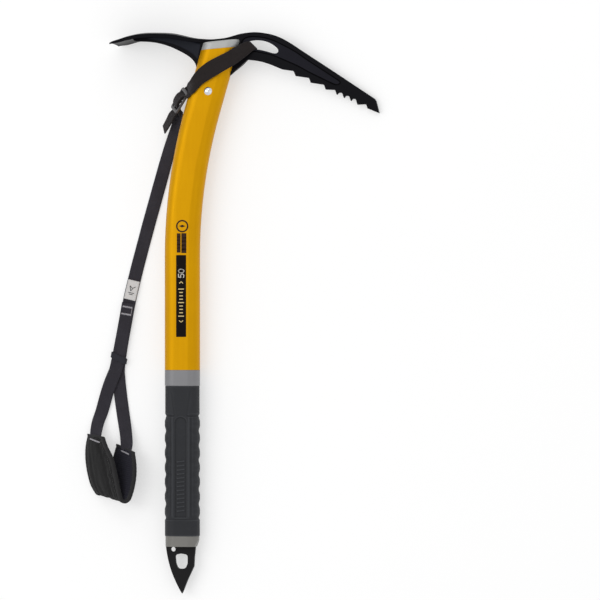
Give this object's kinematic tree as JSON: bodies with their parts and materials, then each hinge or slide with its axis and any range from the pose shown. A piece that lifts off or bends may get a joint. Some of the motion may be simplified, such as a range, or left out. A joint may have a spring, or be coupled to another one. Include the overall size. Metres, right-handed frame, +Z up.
{
  "type": "ice axe",
  "caption": "Mountaineering ice axe lying flat: bent oval shaft, steel pick and adze head, steel spike, rubber grip and a webbing leash with a padded wrist cuff.",
  "frame": {"origin": "bottom centre of the box round the axe without its leash, on the floor it lies on", "axes": "+Y along the shaft towards the head, +X towards the pick, +Z up; the axe rests on the adze's lower corner, the pick's tip and the end of the grip"},
  "size_m": [0.2749, 0.5064, 0.0501],
  "materials": {
    "head_steel": "black coated forged steel",
    "bare_aluminium": "satin aluminium",
    "rivet_metal": "polished",
    "shaft_anodised": "satin yellow anodised",
    "ring_grey": "moulded satin grey",
    "grip_rubber": "moulded rubber",
    "ferrule_grey": "moulded satin grey",
    "spike_steel": "black coated steel",
    "print_black": "printed film",
    "webbing": "woven nylon webbing",
    "buckle_plastic": "moulded black plastic",
    "keeper_webbing": "woven nylon band",
    "label_cloth": "white woven label",
    "stitch_thread": "light grey thread",
    "pad_fabric": "woven outer fabric",
    "pad_mesh": "knitted mesh lining",
    "pad_binding": "ribbed edge binding"
  },
  "bodies": {
    "axe": {"head": "head_steel", "head_insert_front": "bare_aluminium", "head_insert_rear": "bare_aluminium", "head_rivets": "rivet_metal", "shaft_tube": "shaft_anodised", "grip_collar": "ring_grey", "grip_sleeve": "grip_rubber", "spike_ferrule": "ferrule_grey", "spike": "spike_steel", "spike_pins": "rivet_metal", "size_label": "print_black", "rating_mark": "print_black", "leash_head_loop": "webbing", "leash_tail": "webbing", "leash_main_strap": "webbing", "loop_leg_right": "webbing", "loop_leg_left": "webbing", "leash_buckle": "buckle_plastic", "leash_label": "label_cloth", "leash_bartacks": "stitch_thread", "wrist_pad_shell": "pad_fabric", "wrist_pad_lining": "pad_mesh", "wrist_pad_binding": "pad_binding", "wrist_pad_bartacks": "stitch_thread"},
    "keeper": {"leash_keeper": "keeper_webbing"}
  },
  "joints": [
    {"name": "keeper_slide", "type": "slide", "parent": "axe", "child": "keeper", "axis": [0.1772, 0.9842, 0], "range_m": [0, 0.035]}
  ]
}
